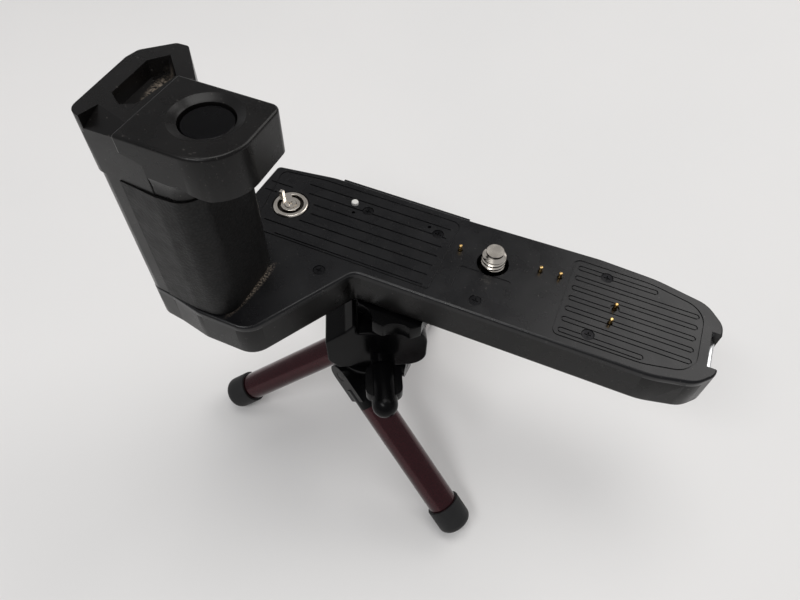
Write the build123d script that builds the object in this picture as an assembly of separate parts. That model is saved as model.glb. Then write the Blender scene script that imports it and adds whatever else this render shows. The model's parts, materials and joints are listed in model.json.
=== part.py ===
from build123d import *
import math
import os

# Power winder with a hand grip for a film camera, on a folding table tripod.
# Millimetres. The origin is on the camera screw's axis, in the face that the camera rests on.
# +X runs along the winder, away from the grip, +Y towards the photographer, +Z up.

# ---- winder body: driving dimensions ----
BODY_DEPTH = 12.0        # height of the base, from its underside to the camera seat
WALL = 1.6
PLATE = 1.8              # thickness of the top plate
GROOVE = 0.35            # depth of the engraved lines
FIT = 0.05               # radial clearance of a running fit
SCREW_R = 3.175          # quarter-inch camera thread
CONTACT_R = 0.5          # spring contact pins

# ---- grip ----
COLUMN_TOP = 48.0
NECK_Z = 38.0
REAR_CAP_TOP = 52.0
BEAK_Z = 46.2
BEAK_TOP = 56.0
LEATHER_TOP = 37.95
LEATHER = 0.45
BUTTON_X, BUTTON_Y, BUTTON_R = -49.6, -37.0, 5.3
DISH_R = 7.1

# ---- drive train ----
MODULE = 0.5
COUPLER_TEETH, IDLER_PINION_TEETH, IDLER_TEETH, MOTOR_TEETH = 34, 12, 30, 12
MOTOR_R = 6.6
MESH_GAP = 0.06
COUPLER_X, COUPLER_Y = -59.0, -3.0
COUPLER_R = 4.95

# ---- battery cells (AAA) ----
CELL_R, CELL_LENGTH = 5.1, 44.0
CELL_XS = (-71.0, -60.6)
CELL_YS = (-35.9, -25.5)
CELL_Z = -9.2

# ---- tripod ----
HEAD_TURN = 27.0         # heading of the head's long side
CROWN_X, CROWN_Y = -29.9, -14.1
BALL_U, BALL_V = 8.85, -0.9   # the ball, from the crown's axis, along and across the head
BALL_R, BALL_Z = 6.5, -25.5
HOUSING_TOP, HOUSING_BOTTOM = -19.6, -37.0
KNOB_X, KNOB_Z = 3.6, -33.3
WHEEL_LOBES = 7
WHEEL_R, WHEEL_TOP, WHEEL_BOTTOM = 12.0, -12.1, -17.5
PIVOT_R, PIVOT_Z = 8.0, -43.9
BOLT_R = 1.5
SPLAY = 52.6
LEG_HEADINGS = (-22.3, -154.0, 98.0)
LEG_LENGTH = 62.9        # pivot to the end of the foot
TUBE_R = 4.75
FITTING_END = 12.5
FOOT_LENGTH = 9.0


def block(x0, x1, y0, y1, z0, z1):
    return Pos((x0 + x1) / 2, (y0 + y1) / 2, (z0 + z1) / 2) * Box(x1 - x0, y1 - y0, z1 - z0)


def rod(x, y, r, z0, z1):
    return Pos(x, y, (z0 + z1) / 2) * Cylinder(r, z1 - z0)


def rod_x(y, z, r, x0, x1):
    return Pos((x0 + x1) / 2, y, z) * Rot(0, 90, 0) * Cylinder(r, x1 - x0)


def rod_y(x, z, r, y0, y1):
    return Pos(x, (y0 + y1) / 2, z) * Rot(90, 0, 0) * Cylinder(r, y1 - y0)


def slab(sketch, z0, z1):
    return Pos(0, 0, z0) * extrude(sketch, amount=z1 - z0)


def rounded(corners):
    """Closed outline through corners given as (x, y, radius)."""
    line = FilletPolyline(*[(x, y) for x, y, r in corners], radius=[r for x, y, r in corners], close=True)
    return make_face(line)


def racetrack(x0, x1, y, width, depth):
    """A slot from x0 to x1, cut down from the seat face."""
    slot = Pos((x0 + x1) / 2, y) * SlotOverall(x1 - x0, width)
    return slab(slot, -depth, 1)


# ---- plan outlines ----

BASE = rounded((
    (-77.5, -42.4, 3.5), (-70.0, -43.3, 6), (-61.5, -45.0, 8), (-47.3, -45.0, 6.5), (-32.0, -17.8, 3.2),
    (45.0, -17.3, 18), (54.8, -15.0, 7), (58.8, -10.8, 4), (58.8, 4.8, 5), (54.2, 10.0, 7),
    (41.0, 12.8, 30), (26.0, 13.6, 30), (-9.0, 12.5, 30), (-52.5, 12.4, 20), (-70.3, 9.8, 1.5),
    (-70.9, -14.3, 2), (-78.1, -20.2, 2), (-78.8, -23.5, 2),
))

COLUMN = rounded((
    (-77.5, -42.4, 3.5), (-70.0, -43.0, 6), (-61.5, -43.9, 8), (-53.1, -43.6, 5), (-53.1, -24.0, 1.5),
    (-59.3, -16.6, 1.5), (-70.9, -14.3, 2), (-78.1, -20.2, 2), (-78.8, -23.5, 2),
))

REAR_CAP = rounded((
    (-77.9, -42.5, 3), (-61.7, -43.9, 0.3), (-61.7, -24.0, 0.5), (-69.9, -14.6, 1.2), (-72.8, -14.7, 1.5),
    (-78.4, -20.2, 2), (-79.1, -23.5, 2),
))

BEAK = rounded(((-61.68, -48.2, 0.5), (-39.0, -48.2, 9), (-39.0, -28.4, 2), (-61.68, -28.4, 0.5)))
NECK_FOOT = rounded(((-61.68, -43.88, 0.3), (-53.0, -43.6, 5), (-52.9, -28.4, 1.5), (-61.68, -28.4, 0.3)))
NECK_MIDDLE = rounded(((-61.68, -44.1, 0.4), (-50.6, -44.3, 6), (-50.4, -28.4, 1.6), (-61.68, -28.4, 0.4)))

NOTCH = block(56.2, 60, -9.2, 1.6, -20, 5) + block(55.0, 60, -9.2, 1.6, -20, -PLATE)
BACK_RAIL = (-50.0, -11.0, 11.5, 13.3)
PLATE_SCREWS = ((-38.1, 3.8), (-17.0, 3.8), (-40.6, -20.9), (-0.3, -13.4), (28.8, 7.7), (28.3, -11.9))
CONTACTS = ((-9.5, 0.9), (12.2, 2.6), (17.4, 2.7), (32.7, -1.3), (32.5, -6.3))
GUIDE = (-42.7, 4.9)
WHEEL_WELL_R = 9.2
STRAP_Z = -4.2
HINGE_Y, HINGE_Z = -19.2, -10.9
DOOR_HOLE = rounded(((-76.3, -41.2, 4.5), (-55.3, -41.2, 4.5), (-55.3, -20.2, 2), (-76.3, -20.2, 2)))
DOOR = rounded(((-76.05, -40.95, 4.3), (-55.55, -40.95, 4.3), (-55.55, -21.0, 1.5), (-76.05, -21.0, 1.5)))


def head_point(x, y):
    """A point of the head's own frame, in the part's frame."""
    turn = math.radians(HEAD_TURN)
    px = CROWN_X + x * math.cos(turn) - y * math.sin(turn)
    py = CROWN_Y + x * math.sin(turn) + y * math.cos(turn)
    return px, py


HEAD = Pos(CROWN_X, CROWN_Y, 0) * Rot(0, 0, HEAD_TURN)
BALL_X, BALL_Y = head_point(BALL_U, BALL_V)


# ---- winder ----

def base_tray():
    """Underside and walls of the winder, open at the top."""
    body = slab(BASE, -BODY_DEPTH, -PLATE)
    body = fillet(body.faces().sort_by(Axis.Z)[0].edges(), 1.4)
    body += block(*BACK_RAIL, -BODY_DEPTH + 2, -PLATE)
    body -= slab(offset(BASE, amount=-WALL), -BODY_DEPTH + WALL, 0)
    body += block(53.4, 57.0, -11.0, 3.4, -BODY_DEPTH + 1.5, -PLATE)
    body -= NOTCH
    body -= rod_y(57.5, STRAP_Z, 0.95, -10.7, 3.2)
    for x, y in PLATE_SCREWS:
        body += rod(x, y, 1.9, -BODY_DEPTH + WALL, -PLATE)
        body -= rod(x, y, 1.0, -8.0, 0)
    body += rod(BALL_X, BALL_Y, 6.4, -BODY_DEPTH, -4.5)
    body -= rod(BALL_X, BALL_Y, 4.5, -20, -4.5)
    body += rod(0, 0, WHEEL_WELL_R + 1.2, -BODY_DEPTH + WALL, -8.4)
    body -= rod(0, 0, WHEEL_WELL_R, -20, -9.3)
    body -= rod(0, 0, 2.4 + FIT, -20, 0)
    body -= slab(DOOR_HOLE, -20, -BODY_DEPTH + WALL)
    for x in (-72.5, -58.5):
        body += block(x - 1.2, x + 1.2, -20.0, -17.8, -BODY_DEPTH + 0.2, -BODY_DEPTH + 3)
        body -= rod_x(HINGE_Y, HINGE_Z, 0.5, x - 2, x + 2)
    body -= block(-71.3, -59.7, -20.7, -17.7, -20, -BODY_DEPTH + 2.4)
    body -= block(0.0, 9.0, 10, 16, -7.5, -5.1)
    return body


def plate_lines():
    """Engraved lines of both panels."""
    cuts = []
    for i in range(7):
        y = 6.65 - 3.48 * i
        x0 = (-58.0, -56.5, -53.2, -52.2, -54.0, -63.0, -57.8)[i]
        cuts.append(racetrack(x0, -14.3, y, 0.36, GROOVE))
    cuts.append(racetrack(-68.8, -61.8, 3.3, 0.36, GROOVE))
    cuts.append(racetrack(-69.0, -65.0, -0.2, 0.36, GROOVE))
    for i in range(7):
        y = 8.1 - 3.55 * i
        x1 = 42.0 if i in (0, 6) else 52.8
        ring = Pos((21.0 + x1) / 2, y) * (SlotOverall(x1 - 21.0, 1.7) - SlotOverall(x1 - 21.6, 1.1))
        cuts.append(slab(ring, -GROOVE, 1))
    right = rounded(((19.6, 10.9, 2), (40.0, 10.6, 20), (54.0, 7.6, 6), (54.0, -12.4, 6), (42.0, -14.9, 15),
                     (19.6, -15.2, 2)))
    left = rounded(((-68.0, 8.6, 2), (-55.0, 10.2, 15), (-12.3, 10.2, 2.5), (-12.3, -15.2, 1), (-64.5, -15.2, 1)))
    cuts.append(slab(right - offset(right, amount=-0.32), -0.25, 1))
    cuts.append(slab(left - offset(left, amount=-0.32), -0.25, 1))
    label = Pos(-0.6, -8.0) * RectangleRounded(13.8, 8.0, 0.6)
    cuts.append(slab(label, -0.2, 1))
    return cuts


def top_plate():
    """Flat plate that the camera's base rests on."""
    plate = slab(BASE, -PLATE, 0)
    plate = fillet(plate.faces().sort_by(Axis.Z)[-1].edges(), 0.7)
    plate += block(*BACK_RAIL, -PLATE, -0.6)
    plate -= NOTCH
    for cut in plate_lines():
        plate -= cut
    plate -= rod(COUPLER_X, COUPLER_Y, COUPLER_R + 0.3, -5, 1)
    plate -= rod(0, 0, SCREW_R + 1.1, -5, 1)
    for x, y in CONTACTS:
        plate -= rod(x, y, CONTACT_R + 0.2, -5, 1)
    plate -= rod(32.7, -1.3, 1.2, -0.4, 1)
    for x, y in PLATE_SCREWS:
        plate -= rod(x, y, 1.62, -0.75, 1)
        plate -= rod(x, y, 1.05, -5, 1)
    plate -= rod(*GUIDE, 1.0, -5, 1)
    plate -= slab(DOOR_HOLE, -5, 1)
    plate -= rod(-20.1, 5.3, 0.5, -0.8, 1)
    plate -= rod(-41.6, 1.6, 0.5, -0.8, 1)
    return plate


def grip_shell():
    """Hollow column that holds the cells."""
    shell = slab(COLUMN, 0, NECK_Z)
    shell += slab(REAR_CAP, NECK_Z, COLUMN_TOP)
    hollow = offset(COLUMN, amount=-1.3)
    shell -= slab(hollow, -1, NECK_Z - 1.4)
    return shell


def block2d(x0, x1, y0, y1):
    return Pos((x0 + x1) / 2, (y0 + y1) / 2) * Rectangle(x1 - x0, y1 - y0)


def grip_leather():
    """Grained covering round the front and the inner side of the column."""
    skin = offset(COLUMN, amount=LEATHER) - offset(COLUMN, amount=0.02)
    return slab(skin & block2d(-70.6, -50, -46, -26.5), 0.4, LEATHER_TOP)


def rear_cap():
    """Sloping cover over the column's back, with the strap slot."""
    cap = slab(REAR_CAP, COLUMN_TOP, REAR_CAP_TOP)
    slope = make_face(Polyline((-7, 47.4), (-7, 60), (0, 60), (0, REAR_CAP_TOP), close=True))
    wedge = extrude(Plane.YZ * slope, amount=20)
    cap -= Pos(-73.8, -38.4, 0) * Rot(0, 0, -15.7) * wedge
    rim = Polyline((-73.9, -34.4), (-74.5, -22.6), (-71.4, -18.9), (-66.0, -24.4), (-67.4, -35.2),
                   (-70.4, -36.8), close=True)
    floor = Polyline((-73.7, -34.0), (-74.1, -23.1), (-71.6, -20.2), (-69.3, -23.0), (-70.6, -30.0),
                     (-72.4, -34.4), close=True)
    cap -= loft([Pos(0, 0, COLUMN_TOP + 0.5) * make_face(floor), Pos(0, 0, REAR_CAP_TOP) * make_face(rim)],
                ruled=True)
    return cap


def trigger_head():
    """Overhanging head of the grip, with the dish round the shutter button."""
    head = slab(BEAK, BEAK_Z, BEAK_TOP)
    head = fillet(head.faces().sort_by(Axis.Z)[-1].edges(), 0.7)
    head += loft([Pos(0, 0, NECK_Z) * NECK_FOOT, Pos(0, 0, 42.6) * NECK_MIDDLE, Pos(0, 0, BEAK_Z) * BEAK])
    rise = make_face(Polyline((-63, 36), (-63, 52.6), (-58, 51.2), (-50, 48.2), (-42.5, 45.6), (-40, 36),
                              close=True))
    head -= Pos(0, -44.2, 0) * extrude(Plane.XZ * rise, amount=8)
    dish_sphere = 14.5
    head -= Pos(BUTTON_X, BUTTON_Y, BEAK_TOP + math.sqrt(dish_sphere ** 2 - DISH_R ** 2)) * Sphere(dish_sphere)
    head -= rod(BUTTON_X, BUTTON_Y, BUTTON_R + 0.08, 51.0, 60)
    head -= rod(BUTTON_X, BUTTON_Y, BUTTON_R + 0.9, 46.5, 52.2)
    head -= rod(BUTTON_X, BUTTON_Y, 1.8, 42.4, 47)
    return head


def shutter_button():
    button = rod(BUTTON_X, BUTTON_Y, BUTTON_R, 50.6, 54.8)
    button = fillet(button.faces().sort_by(Axis.Z)[-1].edges(), 0.8)
    button += rod(BUTTON_X, BUTTON_Y, BUTTON_R + 0.7, 50.6, 51.9)
    button += rod(BUTTON_X, BUTTON_Y, 1.2, 47.6, 50.6)
    return button


def button_spring():
    """Return spring round the button's stem."""
    coil = Helix(pitch=0.95, height=3.3, radius=2.35)
    wire = sweep(Plane(origin=coil @ 0, z_dir=coil % 0) * Circle(0.2), path=coil)
    return Pos(BUTTON_X, BUTTON_Y, 46.95) * wire


def button_switch():
    """Micro switch under the button."""
    body = block(BUTTON_X - 1.3, BUTTON_X + 1.3, BUTTON_Y - 1.1, BUTTON_Y + 1.1, 42.4, 45.2)
    return body + rod(BUTTON_X, BUTTON_Y, 0.7, 45.2, 46.0)


# ---- drive ----

def involute(angle):
    return math.tan(angle) - angle


def gear(teeth, thickness):
    """Spur gear, 20 degree involute, slightly thinned teeth, one tooth centred on +X."""
    pitch_r = MODULE * teeth / 2
    base_r = pitch_r * math.cos(math.radians(20))
    tip_r = pitch_r + 0.85 * MODULE
    root_r = pitch_r - 1.15 * MODULE
    half = math.pi / (2 * teeth) - 0.045 / pitch_r + involute(math.radians(20))
    low_r = max(base_r, root_r)
    flank = []
    for share in (0, 0.5, 1):
        r = low_r + (tip_r - low_r) * share
        roll = math.acos(min(1, base_r / r))
        flank.append((r, half - involute(roll)))
    step = 2 * math.pi / teeth
    face = Circle(root_r)
    for i in range(teeth):
        centre = step * i
        right = [(r * math.cos(centre - a), r * math.sin(centre - a)) for r, a in flank]
        left = [(r * math.cos(centre + a), r * math.sin(centre + a)) for r, a in reversed(flank)]
        foot_a = flank[0][1]
        inner = 0.9 * root_r
        start = (inner * math.cos(centre - foot_a), inner * math.sin(centre - foot_a))
        end = (inner * math.cos(centre + foot_a), inner * math.sin(centre + foot_a))
        face += make_face(Polyline(start, *right, *left, end, close=True))
    return extrude(face, amount=thickness)


def polar(x, y, distance, heading):
    turn = math.radians(heading)
    return x + distance * math.cos(turn), y + distance * math.sin(turn)


IDLER_HEADING, MOTOR_HEADING = -10.0, -15.0
IDLER_X, IDLER_Y = polar(COUPLER_X, COUPLER_Y, MODULE * (COUPLER_TEETH + IDLER_PINION_TEETH) / 2 + MESH_GAP,
                         IDLER_HEADING)
MOTOR_X, MOTOR_Y = polar(IDLER_X, IDLER_Y, MODULE * (IDLER_TEETH + MOTOR_TEETH) / 2 + MESH_GAP, MOTOR_HEADING)


def coupler_gear():
    """Gear and shaft under the drive coupler."""
    turned = Pos(COUPLER_X, COUPLER_Y, -6.8) * Rot(0, 0, IDLER_HEADING) * gear(COUPLER_TEETH, 2.2)
    turned += rod(COUPLER_X, COUPLER_Y, 2.2, -6.8, -1.9)
    turned += rod(COUPLER_X, COUPLER_Y, 1.2, -9.4, -6.8)
    turned -= rod(COUPLER_X, COUPLER_Y, 0.8, -5.5, 1)
    return turned


def drive_coupler():
    """Slotted disc that turns the camera's winding shaft."""
    disc = rod(COUPLER_X, COUPLER_Y, COUPLER_R, -1.9, 0.3)
    disc = chamfer(disc.faces().sort_by(Axis.Z)[-1].edges(), 0.3)
    ring = Circle(3.7) - Circle(2.7)
    sector = make_face(Polyline((0, 0), (-2.6, 6), (-7, 6), (-7, 1.0), close=True))
    disc -= Pos(COUPLER_X, COUPLER_Y, 0) * slab(ring - sector, -0.7, 1)
    disc -= rod(COUPLER_X, COUPLER_Y, 1.7, -0.5, 1)
    disc -= rod(COUPLER_X, COUPLER_Y, 0.85, -3, 1)
    disc -= block(COUPLER_X - 4.0, COUPLER_X - 2.9, COUPLER_Y + 0.9, COUPLER_Y + 2.1, -1.2, 1)
    return disc


def coupler_key():
    """Dog that stands up from the coupler."""
    return block(COUPLER_X - 4.0, COUPLER_X - 2.9, COUPLER_Y + 0.9, COUPLER_Y + 2.1, -1.2, 2.6)


def cross_recess(x, y, top, size):
    bar_a = block(x - size, x + size, y - 0.16 * size, y + 0.16 * size, top - 0.5 * size, top + 1)
    bar_b = block(x - 0.16 * size, x + 0.16 * size, y - size, y + size, top - 0.5 * size, top + 1)
    return bar_a + bar_b


def coupler_screw():
    screw = rod(COUPLER_X, COUPLER_Y, 1.6, -0.5, 0.5) + rod(COUPLER_X, COUPLER_Y, 0.78, -5.2, -0.5)
    return screw - cross_recess(COUPLER_X, COUPLER_Y, 0.5, 0.95)


def idler_gear():
    """Two-step gear between the motor and the coupler."""
    wheel = Pos(IDLER_X, IDLER_Y, -4.0) * Rot(0, 0, MOTOR_HEADING) * gear(IDLER_TEETH, 1.5)
    pinion_turn = IDLER_HEADING + 180 + 180 / IDLER_PINION_TEETH
    pinion = Pos(IDLER_X, IDLER_Y, -6.9) * Rot(0, 0, pinion_turn) * gear(IDLER_PINION_TEETH, 2.9)
    return wheel + pinion - rod(IDLER_X, IDLER_Y, 0.8 + FIT, -20, 5)


def motor():
    """Flat motor standing on the gear plate."""
    can = rod(MOTOR_X, MOTOR_Y, MOTOR_R, -9.9, -4.9)
    can = fillet(can.edges(), 0.5)
    return can + rod(MOTOR_X, MOTOR_Y, 2.0, -4.9, -4.5)


def motor_pinion():
    """Motor shaft with its pinion."""
    turn = MOTOR_HEADING + 180 + 180 / MOTOR_TEETH
    teeth = Pos(MOTOR_X, MOTOR_Y, -4.0) * Rot(0, 0, turn) * gear(MOTOR_TEETH, 1.5)
    return teeth + rod(MOTOR_X, MOTOR_Y, 0.9, -4.45, -4.0)


def gear_plate():
    """Chassis plate under the drive, with the posts that the gears turn on."""
    corners = ((-67.5, -12.5, 2), (-33.0, -14.5, 2), (-33.0, -0.4, 2), (-44.0, 0.4, 2), (-56.0, 6.5, 2), (-67.5, 6.0, 2))
    plate = slab(rounded(corners), -10.4, -9.9)
    plate += rod(COUPLER_X, COUPLER_Y, 2.6, -9.9, -7.1) - rod(COUPLER_X, COUPLER_Y, 1.2 + FIT, -9.6, -6)
    plate += rod(IDLER_X, IDLER_Y, 1.8, -9.9, -7.1) + rod(IDLER_X, IDLER_Y, 0.8, -7.1, -2.2)
    return plate


# ---- camera screw, contacts, electrics ----

def camera_screw():
    """Quarter-inch screw that holds the camera down."""
    screw = rod(0, 0, SCREW_R, 0, 5.0)
    screw = chamfer(screw.faces().sort_by(Axis.Z)[-1].edges(), 0.9)
    screw += rod(0, 0, 2.8, -4.0, 0)
    return screw + rod(0, 0, 2.4, -13.4, -4.0) + rod(0, 0, 4.0, -5.0, -4.0)


def screw_wheel():
    """Finger wheel under the winder that turns the camera screw."""
    wheel = rod(0, 0, 8.8, -13.4, -9.5) - rod(0, 0, 2.4, -20, 0)
    for i in range(24):
        x, y = polar(0, 0, 9.1, 15 * i)
        wheel -= rod(x, y, 0.6, -14, -9)
    return wheel


def screw_clip():
    """Spring clip that keeps the camera screw from falling out."""
    ring = rod(0, 0, 4.0, -8.35, -7.75) - rod(0, 0, 2.4, -9, -7)
    return ring - block(-0.9, 0.9, 1.5, 5, -9, -7)


def contact_pin(x, y):
    pin = rod(x, y, CONTACT_R, -5.6, 1.9)
    return fillet(pin.faces().sort_by(Axis.Z)[-1].edges(), 0.3)


def pin_barrels():
    """Sockets that the contact pins slide in."""
    barrels = []
    for x, y in CONTACTS:
        barrels.append(rod(x, y, 1.15, -8.1, -PLATE) - rod(x, y, CONTACT_R + FIT, -7.5, 0))
    return Compound(children=barrels)


def guide_pin():
    pin = rod(*GUIDE, 1.0, -PLATE - 1.2, 0.9)
    return fillet(pin.faces().sort_by(Axis.Z)[-1].edges(), 0.3)


def plate_screws():
    screws = []
    for x, y in PLATE_SCREWS:
        screw = rod(x, y, 1.48, -0.75, -0.15) + rod(x, y, 0.95, -6.5, -0.75)
        screws.append(screw - cross_recess(x, y, -0.15, 0.85))
    return Compound(children=screws)


def circuit_board():
    board = slab(Pos(31.2, -2.0) * RectangleRounded(39.5, 13.5, 1.0), -10.4, -9.4)
    board += block(20, 30, -6, 0, -9.4, -8.4)
    board += rod(40, -2, 2.4, -9.4, -4.0)
    board += rod(46, -5, 1.6, -9.4, -6.0)
    return board


def power_switch():
    """Slide on the back wall."""
    knob = block(0.6, 5.4, 13.15, 14.2, -8.0, -4.6)
    knob += block(1.2, 4.8, 11.0, 13.15, -7.3, -5.3)
    return knob + block(0.4, 5.6, 10.2, 11.0, -8.4, -4.2)


def strap_bar():
    """Steel bar across the notch at the end."""
    return rod_y(57.5, STRAP_Z, 0.9, -10.6, 3.0)


def tripod_socket():
    """Threaded insert in the underside."""
    insert = rod(BALL_X, BALL_Y, 4.5, -BODY_DEPTH, -4.6)
    return insert - rod(BALL_X, BALL_Y, SCREW_R, -20, -5.2)


# ---- batteries ----

def battery_cell(x, y, nipple_up):
    cell = rod(x, y, CELL_R, CELL_Z, CELL_Z + CELL_LENGTH - 1)
    if nipple_up:
        return cell + rod(x, y, 1.9, CELL_Z + CELL_LENGTH - 1, CELL_Z + CELL_LENGTH)
    return cell + rod(x, y, 1.9, CELL_Z - 0.8, CELL_Z)


def cell_contacts():
    """Strips over the cells' upper ends."""
    strips = []
    for y in CELL_YS:
        strips.append(block(-74.0, -57.5, y - 2.0, y + 2.0, 35.2, 36.6))
    return Compound(children=strips)


def battery_door():
    """Hinged cover under the grip."""
    door = slab(DOOR, -BODY_DEPTH, -BODY_DEPTH + 1.3)
    door += rod_x(HINGE_Y, HINGE_Z, 1.05, -71.0, -60.0)
    door += block(-71.0, -60.0, -21.5, -19.4, -BODY_DEPTH, -BODY_DEPTH + 1.2)
    return door - rod_x(HINGE_Y, HINGE_Z, 0.5 + FIT, -80, -50)


def door_pin():
    return rod_x(HINGE_Y, HINGE_Z, 0.5, -73.6, -57.4)


def door_contacts():
    """Strip on the door that joins the cells' lower ends."""
    return block(-73.4, -58.7, -38.0, -23.8, -BODY_DEPTH + 1.3, -BODY_DEPTH + 1.6)


# ---- tripod head ----

def thumbwheel():
    """Scalloped wheel that tightens against the winder."""
    disc = rod(BALL_X, BALL_Y, WHEEL_R, WHEEL_BOTTOM, WHEEL_TOP)
    for i in range(WHEEL_LOBES):
        x, y = polar(BALL_X, BALL_Y, WHEEL_R + 4.2, 360 / WHEEL_LOBES * i - 72)
        disc -= rod(x, y, 6.0, -20, -10)
    disc = chamfer(disc.faces().sort_by(Axis.Z)[0].edges(), 0.8)
    return disc - rod(BALL_X, BALL_Y, SCREW_R, -20, -10)


def ball_stem():
    """Ball, neck and tripod screw in one piece."""
    ball = Pos(BALL_X, BALL_Y, BALL_Z) * Sphere(BALL_R)
    ball += rod(BALL_X, BALL_Y, 2.6, BALL_Z, WHEEL_BOTTOM)
    return ball + rod(BALL_X, BALL_Y, SCREW_R - 0.07, WHEEL_BOTTOM, -6.0)


def ball_seat():
    """Nylon ring under the ball."""
    ring = rod(BALL_X, BALL_Y, 5.0, -31.2, -28.6)
    return ring - Pos(BALL_X, BALL_Y, BALL_Z) * Sphere(BALL_R + FIT)


def head_housing():
    """Block that holds the ball, in the head's own frame."""
    outline = rounded((
        (-9.3, HOUSING_BOTTOM, 0.8), (-12.4, -33.0, 1.5), (-12.6, -23.2, 0.9), (-6.8, -18.6, 3), (-3.7, -15.0, 0.6),
        (-3.7, HOUSING_TOP, 1.0), (16.5, HOUSING_TOP, 6.0), (16.5, HOUSING_BOTTOM, 5.5),
    ))
    side = Pos(0, 0.3, 0) * extrude(Plane.XZ * outline, amount=9.0, both=True)
    side = fillet(side.faces().sort_by(Axis.Y)[0].edges(), 0.5)
    side += rod_y(KNOB_X, KNOB_Z, 3.7, -11.4, -8)
    side -= Pos(BALL_U, BALL_V, BALL_Z) * Sphere(BALL_R + FIT)
    side -= rod(BALL_U, BALL_V, 5.0 + FIT, -31.25, BALL_Z)
    side -= Pos(BALL_U, BALL_V, BALL_Z + 4.0) * Cone(0.01, 8.0 * math.tan(math.radians(44)), 8.0)
    side -= block(BALL_U, 25, BALL_V - 3.4, BALL_V + 3.4, BALL_Z, -10)
    side -= rod_y(KNOB_X, KNOB_Z, 2.0 + FIT, -12, -1.0)
    side -= rod(0, 0, BOLT_R, -40, -29.5)
    return HEAD * side


def lock_knob():
    """Winged knob at the front of the head."""
    back, front = -11.7, -27.4
    knob = rod_y(KNOB_X, KNOB_Z, 3.7, front + 3.7, back)
    knob += Pos(KNOB_X, front + 3.7, KNOB_Z) * Sphere(3.7)
    wing = block(KNOB_X - 5.3, KNOB_X + 5.3, -21.6, back, KNOB_Z - 1.9, KNOB_Z + 1.9)
    knob += fillet(wing.edges().filter_by(Axis.Z), 2.4)
    return HEAD * (knob - rod_y(KNOB_X, KNOB_Z, 2.0, -18, 0))


def lock_screw():
    """Screw whose point lifts the nylon ring against the ball."""
    point = Pos(KNOB_X, -2.8, KNOB_Z) * Rot(-90, 0, 0) * Cone(2.0, 0.6, 2.8)
    return HEAD * (rod_y(KNOB_X, KNOB_Z, 2.0, -18, -4.2) + point)


def crown_bolt():
    """Bolt up through the crown into the head."""
    return HEAD * (rod(0, 0, BOLT_R, -49.0, -29.6) + rod(0, 0, 3.0, -50.5, -49.0))


# ---- legs ----

def leg_spot(heading):
    """The leg's own frame: pivot at its origin, pin along its X, the tube towards its -Z."""
    turn, splay = math.radians(heading), math.radians(SPLAY)
    pin = (math.sin(turn), -math.cos(turn), 0)
    up = (-math.sin(splay) * math.cos(turn), -math.sin(splay) * math.sin(turn), math.cos(splay))
    pivot = (CROWN_X + PIVOT_R * pin[0], CROWN_Y + PIVOT_R * pin[1], PIVOT_Z)
    return Plane(origin=pivot, x_dir=pin, z_dir=up).location


def leg_crown():
    """Flange and three-sided post that the legs are pinned to."""
    post = rod(0, 0, 5.4, -49.0, -38.9)
    for heading in LEG_HEADINGS:
        face = Rot(0, 0, heading - 90) * block(2.95, 8, -8, 8, -50, -38.9)
        post -= face
        post -= Rot(0, 0, heading - 90) * rod_x(0, PIVOT_Z, 1.5, 1.8, 8)
    post += rod(0, 0, 10.8, -38.9, HOUSING_BOTTOM)
    post -= rod(0, 0, BOLT_R, -60, -30)
    return Pos(CROWN_X, CROWN_Y, 0) * post


def leg_pins():
    pins = []
    for heading in LEG_HEADINGS:
        pin = rod_x(0, PIVOT_Z, 1.5, 1.8, 12.3)
        pins.append(Pos(CROWN_X, CROWN_Y, 0) * Rot(0, 0, heading - 90) * pin)
    return Compound(children=pins)


def leg_fitting(heading):
    """Moulded end that joins the tube to its pin."""
    eye = rod_x(0, 0, 4.4, -4.4, 4.4) + block(-4.4, 4.4, -4.4, 4.4, -9.5, 0)
    eye += rod(0, 0, TUBE_R - 0.05, -FITTING_END, -5.0)
    eye += rod(0, 0, 3.95, -FITTING_END - 9, -FITTING_END)
    return leg_spot(heading) * (eye - rod_x(0, 0, 1.5 + FIT, -10, 10))


def leg_tube(heading):
    tube = rod(0, 0, TUBE_R, -LEG_LENGTH + 1.6, -FITTING_END) - rod(0, 0, 4.0, -100, 0)
    return leg_spot(heading) * tube


def rubber_foot(heading):
    foot = rod(0, 0, 5.5, -LEG_LENGTH, -LEG_LENGTH + FOOT_LENGTH)
    foot = fillet(foot.faces().sort_by(Axis.Z)[0].edges(), 2.5)
    foot -= rod(0, 0, TUBE_R, -LEG_LENGTH + 1.6, 0)
    return leg_spot(heading) * foot


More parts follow.
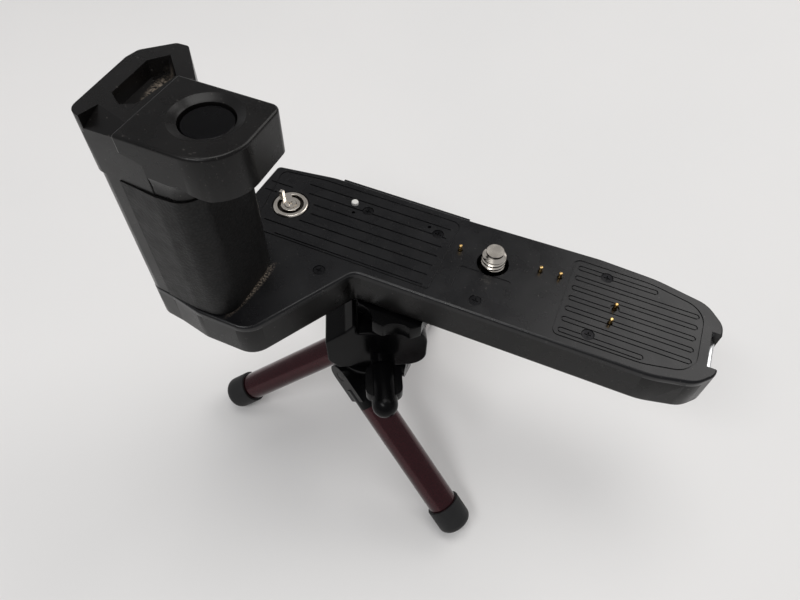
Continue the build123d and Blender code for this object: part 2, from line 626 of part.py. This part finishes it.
def all_pieces():
    pieces = {
        "base_tray": base_tray(),
        "top_plate": top_plate(),
        "grip_shell": grip_shell(),
        "grip_leather": grip_leather(),
        "rear_cap": rear_cap(),
        "trigger_head": trigger_head(),
        "shutter_button": shutter_button(),
        "button_spring": button_spring(),
        "button_switch": button_switch(),
        "coupler_gear": coupler_gear(),
        "drive_coupler": drive_coupler(),
        "coupler_key": coupler_key(),
        "coupler_screw": coupler_screw(),
        "idler_gear": idler_gear(),
        "motor": motor(),
        "motor_pinion": motor_pinion(),
        "gear_plate": gear_plate(),
        "camera_screw": camera_screw(),
        "screw_wheel": screw_wheel(),
        "screw_clip": screw_clip(),
        "pin_barrels": pin_barrels(),
        "guide_pin": guide_pin(),
        "plate_screws": plate_screws(),
        "circuit_board": circuit_board(),
        "power_switch": power_switch(),
        "strap_bar": strap_bar(),
        "tripod_socket": tripod_socket(),
        "cell_contacts": cell_contacts(),
        "battery_door": battery_door(),
        "door_pin": door_pin(),
        "door_contacts": door_contacts(),
        "thumbwheel": thumbwheel(),
        "ball_stem": ball_stem(),
        "ball_seat": ball_seat(),
        "head_housing": head_housing(),
        "lock_knob": lock_knob(),
        "lock_screw": lock_screw(),
        "crown_bolt": crown_bolt(),
        "leg_crown": leg_crown(),
        "leg_pins": leg_pins(),
    }
    for i, (x, y) in enumerate(CONTACTS, 1):
        pieces[f"contact_pin_{i}"] = contact_pin(x, y)
    cells = [(x, y) for y in CELL_YS for x in CELL_XS]
    for i, (x, y) in enumerate(cells, 1):
        pieces[f"battery_cell_{i}"] = battery_cell(x, y, i % 2 == 0)
    for i, heading in enumerate(LEG_HEADINGS, 1):
        pieces[f"leg_fitting_{i}"] = leg_fitting(heading)
        pieces[f"leg_tube_{i}"] = leg_tube(heading)
        pieces[f"rubber_foot_{i}"] = rubber_foot(heading)
    return pieces


os.makedirs("parts", exist_ok=True)
for name, shape in all_pieces().items():
    export_step(shape, f"parts/{name}.step")
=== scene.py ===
import bpy
import json
import math
from mathutils import Matrix, Vector


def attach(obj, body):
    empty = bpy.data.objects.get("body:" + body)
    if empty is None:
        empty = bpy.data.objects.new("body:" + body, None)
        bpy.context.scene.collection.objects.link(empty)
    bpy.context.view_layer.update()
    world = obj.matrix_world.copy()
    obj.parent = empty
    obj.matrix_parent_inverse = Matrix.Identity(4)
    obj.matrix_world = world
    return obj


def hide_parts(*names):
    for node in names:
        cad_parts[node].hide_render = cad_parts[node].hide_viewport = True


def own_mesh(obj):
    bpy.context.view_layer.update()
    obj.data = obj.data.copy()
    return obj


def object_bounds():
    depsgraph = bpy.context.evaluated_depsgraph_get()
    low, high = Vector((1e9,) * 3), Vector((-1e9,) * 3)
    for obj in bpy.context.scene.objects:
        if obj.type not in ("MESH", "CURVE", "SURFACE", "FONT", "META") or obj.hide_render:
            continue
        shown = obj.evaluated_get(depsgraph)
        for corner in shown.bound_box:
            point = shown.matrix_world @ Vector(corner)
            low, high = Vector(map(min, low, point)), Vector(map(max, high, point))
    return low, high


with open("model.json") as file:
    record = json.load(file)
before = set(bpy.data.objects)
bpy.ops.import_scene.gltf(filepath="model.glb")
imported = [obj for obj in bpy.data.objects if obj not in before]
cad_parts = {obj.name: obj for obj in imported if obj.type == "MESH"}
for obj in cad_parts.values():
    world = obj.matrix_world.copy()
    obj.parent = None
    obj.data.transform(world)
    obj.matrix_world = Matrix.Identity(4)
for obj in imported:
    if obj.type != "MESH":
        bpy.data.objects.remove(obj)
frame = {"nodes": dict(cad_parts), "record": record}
CAD_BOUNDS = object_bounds()
MM = 0.001

# ---- materials ----


def new_material(name):
    mat = bpy.data.materials.new(name)
    mat.use_nodes = True
    tree = mat.node_tree
    shader = tree.nodes["Principled BSDF"]
    place = tree.nodes.new("ShaderNodeTexCoord")
    return mat, tree, shader, place.outputs["Object"]


def noise(tree, place, scale, detail=3.0):
    node = tree.nodes.new("ShaderNodeTexNoise")
    node.inputs["Scale"].default_value = scale
    node.inputs["Detail"].default_value = detail
    tree.links.new(place, node.inputs["Vector"])
    return node.outputs["Fac"]


def spread(tree, value, low, high, start=0.35, end=0.65):
    """Stretch a value from start..end to low..high, held at both ends."""
    node = tree.nodes.new("ShaderNodeMapRange")
    node.inputs["From Min"].default_value = start
    node.inputs["From Max"].default_value = end
    node.inputs["To Min"].default_value = low
    node.inputs["To Max"].default_value = high
    tree.links.new(value, node.inputs["Value"])
    return node.outputs["Result"]


def two_tone(tree, value, dark, light):
    """Dark where value is 0, light where it is 1."""
    node = tree.nodes.new("ShaderNodeMix")
    node.data_type = "RGBA"
    node.inputs["A"].default_value = (*dark, 1)
    node.inputs["B"].default_value = (*light, 1)
    tree.links.new(value, node.inputs["Factor"])
    return node.outputs["Result"]


def add_bump(tree, shader, height, distance, strength=1.0):
    bump = tree.nodes.new("ShaderNodeBump")
    bump.inputs["Distance"].default_value = distance
    bump.inputs["Strength"].default_value = strength
    tree.links.new(height, bump.inputs["Height"])
    tree.links.new(bump.outputs["Normal"], shader.inputs["Normal"])


def blob(tree, place, centre, radii, turn=0.0):
    """Soft mask: 1 at the centre, 0 outside the given radii, all in millimetres."""
    mapping = tree.nodes.new("ShaderNodeMapping")
    mapping.vector_type = "TEXTURE"
    mapping.inputs["Location"].default_value = [c * MM for c in centre]
    mapping.inputs["Rotation"].default_value = (0, 0, math.radians(turn))
    mapping.inputs["Scale"].default_value = [r * MM for r in radii]
    tree.links.new(place, mapping.inputs["Vector"])
    ball = tree.nodes.new("ShaderNodeTexGradient")
    ball.gradient_type = "SPHERICAL"
    tree.links.new(mapping.outputs["Vector"], ball.inputs["Vector"])
    return ball.outputs["Fac"]


def times(tree, a, b):
    node = tree.nodes.new("ShaderNodeMath")
    node.operation = "MULTIPLY"
    tree.links.new(a, node.inputs[0])
    tree.links.new(b, node.inputs[1])
    return node.outputs["Value"]


def blended(tree, amount, under, colour):
    """Colour laid over what is under it, by an amount from 0 to 1."""
    mix = tree.nodes.new("ShaderNodeMix")
    mix.data_type = "RGBA"
    mix.inputs["B"].default_value = (*colour, 1)
    tree.links.new(amount, mix.inputs["Factor"])
    tree.links.new(under, mix.inputs["A"])
    return mix.outputs["Result"]


SPECK_COLOUR = (0.30, 0.28, 0.26)
FLUFF_COLOUR = (0.24, 0.20, 0.16)
# Painted shade laid on metal that lies below the seat face.
SEAT_SHADE_COLOUR = (0.045, 0.040, 0.034)
FINE_GRAIN = 2500.0
BRUSHED_GRAIN = 400.0


def plastic(name, dark, light, rough_low, rough_high, grain_depth=0.00001, dust=0.0, shine=0.35,
            dust_spots=()):
    """Moulded plastic; dust_spots lists (centre, radii, turn) of places where dust has gathered."""
    mat, tree, shader, place = new_material(name)
    shader.inputs["Specular IOR Level"].default_value = shine
    tone = two_tone(tree, spread(tree, noise(tree, place, 60.0), 0, 1), dark, light)
    if dust:
        specks = spread(tree, noise(tree, place, 1400.0, 1.0), 0, dust, 0.71, 0.78)
        tone = blended(tree, specks, tone, SPECK_COLOUR)
    for centre, radii, turn in dust_spots:
        near = spread(tree, blob(tree, place, centre, radii, turn), 0, 1, 0.0, 0.4)
        fluff = spread(tree, noise(tree, place, 2200.0, 4.0), 0.0, 0.75, 0.42, 0.64)
        tone = blended(tree, times(tree, near, fluff), tone, FLUFF_COLOUR)
    tree.links.new(tone, shader.inputs["Base Color"])
    tree.links.new(spread(tree, noise(tree, place, 120.0, 6.0), rough_low, rough_high),
                   shader.inputs["Roughness"])
    add_bump(tree, shader, noise(tree, place, FINE_GRAIN, 2.0), grain_depth)
    return mat


def below_seat(tree, place, low, high):
    """Mask: 1 at the height low (mm) and under it, 0 from the height high upwards."""
    parts = tree.nodes.new("ShaderNodeSeparateXYZ")
    tree.links.new(place, parts.inputs["Vector"])
    return spread(tree, parts.outputs["Z"], 1, 0, low * MM, high * MM)


def metal(name, dark, light, rough_low, rough_high, shade_below_seat=False):
    """Brushed metal; with shade_below_seat, what lies below the seat face is darkened as painted shade.
    """
    mat, tree, shader, place = new_material(name)
    shader.inputs["Metallic"].default_value = 1.0
    tone = two_tone(tree, spread(tree, noise(tree, place, 150.0), 0, 1), dark, light)
    # Painted shade: metal under the seat face is darkened.
    if shade_below_seat:
        tone = blended(tree, below_seat(tree, place, -0.35, -0.05), tone, SEAT_SHADE_COLOUR)
    tree.links.new(tone, shader.inputs["Base Color"])
    brushed = noise(tree, place, BRUSHED_GRAIN, 4.0)
    tree.links.new(spread(tree, brushed, rough_low, rough_high), shader.inputs["Roughness"])
    add_bump(tree, shader, brushed, 0.000004)
    return mat


def leather(name):
    """Pebbled grain, lighter on the pebbles than between them."""
    mat, tree, shader, place = new_material(name)
    shader.inputs["Specular IOR Level"].default_value = 0.20
    cells = tree.nodes.new("ShaderNodeTexVoronoi")
    cells.feature = "SMOOTH_F1"
    cells.inputs["Scale"].default_value = 1700.0
    cells.inputs["Smoothness"].default_value = 0.4
    tree.links.new(place, cells.inputs["Vector"])
    pebbles = spread(tree, cells.outputs["Distance"], 1, 0, 0.10, 0.75)
    tree.links.new(two_tone(tree, pebbles, (0.0012, 0.0012, 0.0012), (0.0080, 0.0076, 0.0076)),
                   shader.inputs["Base Color"])
    tree.links.new(spread(tree, noise(tree, place, 300.0), 0.42, 0.50), shader.inputs["Roughness"])
    add_bump(tree, shader, pebbles, 0.00005, 0.6)
    return mat


def tube_paint(name):
    """Clear-coated metallic paint."""
    mat, tree, shader, place = new_material(name)
    shader.inputs["Metallic"].default_value = 0.85
    shader.inputs["Coat Weight"].default_value = 0.45
    shader.inputs["Coat Roughness"].default_value = 0.10
    flake = spread(tree, noise(tree, place, 3000.0, 1.0), 0, 1)
    tree.links.new(two_tone(tree, flake, (0.026, 0.0022, 0.0045), (0.046, 0.0045, 0.008)),
                   shader.inputs["Base Color"])
    tree.links.new(spread(tree, noise(tree, place, 200.0), 0.20, 0.30), shader.inputs["Roughness"])
    add_bump(tree, shader, noise(tree, place, FINE_GRAIN), 0.000002)
    return mat


# Places where dust has gathered: centre, radii and turn, in millimetres and degrees.
POCKET_DUST = ((-69.0, -28.0, 49.6), (3.6, 9.0, 2.9), 14)
FOOT_DUST = ((-53.1, -33.5, 0.2), (1.7, 11.0, 1.3), -6)

MATERIALS = {
    "black_satin": plastic("black_satin", (0.0028, 0.0026, 0.0025), (0.0046, 0.0042, 0.0041), 0.24, 0.34,
                           dust=0.10, shine=0.22, dust_spots=(POCKET_DUST,)),
    "seat_black": plastic("seat_black", (0.0032, 0.0032, 0.0038), (0.0048, 0.0048, 0.0056), 0.24, 0.33,
                          dust=0.10, shine=0.30, dust_spots=(FOOT_DUST,)),
    "leather_grain": leather("leather_grain"),
    "gloss_black": plastic("gloss_black", (0.0012, 0.0012, 0.0014), (0.0022, 0.0022, 0.0025), 0.18, 0.28,
                           grain_depth=0.000003, shine=0.09),
    "burgundy_metal": tube_paint("burgundy_metal"),
    "foot_rubber": plastic("foot_rubber", (0.0045, 0.0045, 0.0048), (0.009, 0.009, 0.0095), 0.50, 0.65,
                           grain_depth=0.00003),
    # The nickel carries painted shade wherever it lies below the seat face.
    "nickel": metal("nickel", (0.66, 0.61, 0.54), (0.82, 0.77, 0.70), 0.14, 0.26, shade_below_seat=True),
    "steel": metal("steel", (0.74, 0.75, 0.76), (0.84, 0.85, 0.86), 0.22, 0.36),
    "gold": metal("gold", (0.62, 0.38, 0.13), (0.80, 0.56, 0.24), 0.16, 0.28),
    "white_nylon": plastic("white_nylon", (0.62, 0.61, 0.58), (0.74, 0.73, 0.70), 0.35, 0.5),
    "dark_steel": metal("dark_steel", (0.010, 0.010, 0.011), (0.022, 0.022, 0.023), 0.30, 0.42),
    "board_green": plastic("board_green", (0.01, 0.10, 0.04), (0.02, 0.16, 0.06), 0.3, 0.45),
    "cell_wrap": plastic("cell_wrap", (0.03, 0.05, 0.10), (0.05, 0.08, 0.16), 0.25, 0.4),
}

SLOT = {entry["node"]: entry["material_slot"] for entry in frame["record"]["subparts"]}

for node_name, node in frame["nodes"].items():
    node.data.materials.clear()
    node.data.materials.append(MATERIALS[SLOT[node_name]])

# ---- softened edges on the moulded and turned pieces ----

# Width of the rounding in millimetres.
EDGE_WIDTHS = {
    "base_tray": 0.25, "top_plate": 0.12, "grip_shell": 0.5, "rear_cap": 0.5, "trigger_head": 0.35,
    "head_housing": 0.5, "lock_knob": 0.5, "thumbwheel": 0.5, "leg_crown": 0.3, "shutter_button": 0.2,
    "leg_fitting_1": 0.4, "leg_fitting_2": 0.4, "leg_fitting_3": 0.4,
    "drive_coupler": 0.1, "coupler_key": 0.15, "coupler_screw": 0.12,
    "battery_door": 0.2, "power_switch": 0.2, "leg_pins": 0.25, "plate_screws": 0.06,
    "strap_bar": 0.2, "rubber_foot_1": 0.3, "rubber_foot_2": 0.3, "rubber_foot_3": 0.3,
}


def soften(obj, width):
    weld = obj.modifiers.new("join", "WELD")
    weld.merge_threshold = 1e-6
    bevel = obj.modifiers.new("edges", "BEVEL")
    bevel.width = width * MM
    bevel.segments = 3
    bevel.limit_method = "ANGLE"
    bevel.angle_limit = math.radians(32)
    bevel.harden_normals = False
    bevel.use_clamp_overlap = True


for node_name, width in EDGE_WIDTHS.items():
    soften(frame["nodes"][node_name], width)

# ---- pieces that are finer than the CAD ----


def new_piece(name, verts, faces, slot, body, stands_for):
    """Smooth-shaded piece that rides on a body; verts are in millimetres."""
    mesh = bpy.data.meshes.new(name)
    mesh.from_pydata([[c * MM for c in v] for v in verts], [], faces)
    mesh.update()
    mesh.polygons.foreach_set("use_smooth", [True] * len(faces))
    mesh.set_sharp_from_angle(angle=math.radians(40))
    obj = bpy.data.objects.new(name, mesh)
    bpy.context.scene.collection.objects.link(obj)
    obj.data.materials.append(MATERIALS[slot])
    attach(obj, body)
    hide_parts(*stands_for)
    return obj


def turned(name, radius, heights, slot, body, stands_for):
    """Solid of revolution about the Z axis; radius(z, turn) lets a thread wind round it."""
    sides = 64
    verts, faces = [], []
    for z in heights:
        for j in range(sides):
            turn = 2 * math.pi * j / sides
            r = radius(z, turn)
            verts.append((r * math.cos(turn), r * math.sin(turn), z))
    for i in range(len(heights) - 1):
        for j in range(sides):
            k = (j + 1) % sides
            faces.append((i * sides + j, i * sides + k, (i + 1) * sides + k, (i + 1) * sides + j))
    faces.append(tuple(reversed(range(sides))))
    top = (len(heights) - 1) * sides
    faces.append(tuple(range(top, top + sides)))
    new_piece(name, verts, faces, slot, body, stands_for)


# The camera screw, in millimetres; the seat face is at 0.
PITCH = 1.27             # twenty turns to the inch
ROOT_R, THREAD_DEPTH = 2.6, 0.55
THREAD_START, FLANK = 0.45, 1.7
TIP_R, TIP_FROM = 2.3, 4.2
CREST_R, TAPER_FROM, TAPER = 3.15, 3.35, 0.95
FLANGE_R, FLANGE_TOP, FLANGE_BOTTOM = 4.0, -4.0, -5.0
SHANK_R, NECK_R = 2.4, 2.78


def screw_radius(z, turn):
    """Quarter-inch thread with a plain narrower end; the shaft below the seat is plain."""
    if z < FLANGE_BOTTOM:
        return SHANK_R
    if z < FLANGE_TOP:
        return FLANGE_R
    if z < 0.0:
        return NECK_R
    if z > TIP_FROM:
        return TIP_R
    phase = ((z - THREAD_START) / PITCH - turn / (2 * math.pi)) % 1.0
    crest = 1 - abs(2 * phase - 1)
    return min(ROOT_R + THREAD_DEPTH * min(1.0, crest * FLANK),
               CREST_R - max(0.0, z - TAPER_FROM) * TAPER)


SCREW_HEIGHTS = ([-13.4, -5.01, -4.99, -4.01, -3.99, -0.01] + [0.06 * i for i in range(71)]
                 + [4.25, 4.85, 5.0])
turned("camera_screw_thread", screw_radius, SCREW_HEIGHTS, "nickel", "mount_screw", ("camera_screw",))

COIL_CENTRE = (-49.6, -37.0, 46.95)


def button_coil():
    """Return spring of the shutter button, built as one fixed coil."""
    pitch, height, coil_r, wire_r = 0.95, 3.3, 2.35, 0.2
    sides, steps_per_turn = 8, 28
    steps = int(steps_per_turn * height / pitch)
    verts, faces = [], []
    for i in range(steps + 1):
        turn = 2 * math.pi * i / steps_per_turn
        z = COIL_CENTRE[2] + height * i / steps
        for j in range(sides):
            around = 2 * math.pi * j / sides
            r = coil_r + wire_r * math.cos(around)
            verts.append((COIL_CENTRE[0] + r * math.cos(turn), COIL_CENTRE[1] + r * math.sin(turn),
                          z + wire_r * math.sin(around)))
    for i in range(steps):
        for j in range(sides):
            k = (j + 1) % sides
            faces.append((i * sides + j, (i + 1) * sides + j, (i + 1) * sides + k, i * sides + k))
    faces.append(tuple(range(sides)))
    faces.append(tuple(reversed(range(steps * sides, (steps + 1) * sides))))
    coil = new_piece("button_coil", verts, faces, SLOT["button_spring"], "winder", ("button_spring",))
    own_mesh(coil)


button_coil()

# ---- floor, light and camera ----

# Metres; the feet stand on the floor.
FLOOR_Z = CAD_BOUNDS[0][2]
FLOOR_FRONT, FLOOR_HALF_WIDTH, WALL_TOP = -1.6, 2.2, 2.2
CURVE_FROM, CURVE_R, CURVE_STEPS = 0.9, 0.6, 48


def floor_piece():
    """Sheet of paper that lies flat and curves up behind."""
    mesh = bpy.data.meshes.new("floor")
    profile = [(FLOOR_FRONT, 0.0)]
    for i in range(CURVE_STEPS + 1):
        turn = math.radians(90) * i / CURVE_STEPS
        profile.append((CURVE_FROM + CURVE_R * math.sin(turn), CURVE_R - CURVE_R * math.cos(turn)))
    profile.append((CURVE_FROM + CURVE_R, WALL_TOP))
    verts, faces = [], []
    for y, z in profile:
        verts.append((-FLOOR_HALF_WIDTH, y, FLOOR_Z + z))
        verts.append((FLOOR_HALF_WIDTH, y, FLOOR_Z + z))
    for i in range(len(profile) - 1):
        faces.append((2 * i, 2 * i + 1, 2 * i + 3, 2 * i + 2))
    mesh.from_pydata(verts, [], faces)
    mesh.polygons.foreach_set("use_smooth", [True] * len(faces))
    obj = bpy.data.objects.new("floor", mesh)
    bpy.context.scene.collection.objects.link(obj)
    mat, tree, shader, place = new_material("floor_paper")
    tree.links.new(two_tone(tree, spread(tree, noise(tree, place, 4.0), 0, 1), (0.715, 0.712, 0.708),
                            (0.745, 0.738, 0.732)), shader.inputs["Base Color"])
    tree.links.new(spread(tree, noise(tree, place, 30.0), 0.75, 0.85), shader.inputs["Roughness"])
    shader.inputs["Specular IOR Level"].default_value = 0.2
    obj.data.materials.append(mat)
    return obj


floor_piece()


def area_light(name, spot, target, size, power, color=(1, 1, 1)):
    """Rectangular lamp turned towards a target; sizes in metres, power in watts."""
    data = bpy.data.lights.new(name, "AREA")
    data.shape = "RECTANGLE"
    data.size, data.size_y = size
    data.energy = power
    data.color = color
    obj = bpy.data.objects.new(name, data)
    obj.location = spot
    obj.rotation_euler = (Vector(target) - Vector(spot)).to_track_quat("-Z", "Y").to_euler()
    bpy.context.scene.collection.objects.link(obj)


area_light("ceiling", (-0.12, 0.08, 1.15), (-0.02, 0, -0.05), (0.6, 0.6), 4.4, (1.0, 0.99, 0.97))
area_light("window", (0.46, 0.66, 0.82), (0.1, 0, -0.05), (0.8, 0.8), 5.4, (1.0, 0.98, 0.96))
area_light("strip", (-0.20, -0.62, 0.80), (0, 0, 0), (0.50, 0.10), 3.2)

world = bpy.data.worlds.new("room")
world.use_nodes = True
world.node_tree.nodes["Background"].inputs["Color"].default_value = (0.98, 0.98, 1.0, 1)
world.node_tree.nodes["Background"].inputs["Strength"].default_value = 0.38
bpy.context.scene.world = world
bpy.context.scene.view_settings.view_transform = "Standard"

# Placed so that the winder, the grip, the head and the legs fall where the photograph has them.
camera_data = bpy.data.cameras.new("camera")
camera_data.lens = 28.30
camera_data.sensor_width = 36.0
camera_data.clip_start = 0.005
camera = bpy.data.objects.new("camera", camera_data)
bpy.context.scene.collection.objects.link(camera)
camera.matrix_world = Matrix((
    (0.91754, -0.33017, 0.22160, 0.01749),
    (0.39700, 0.72911, -0.55748, -0.10929),
    (0.02249, 0.59949, 0.80007, 0.12649),
    (0.0, 0.0, 0.0, 1.0),
))
bpy.context.scene.camera = camera
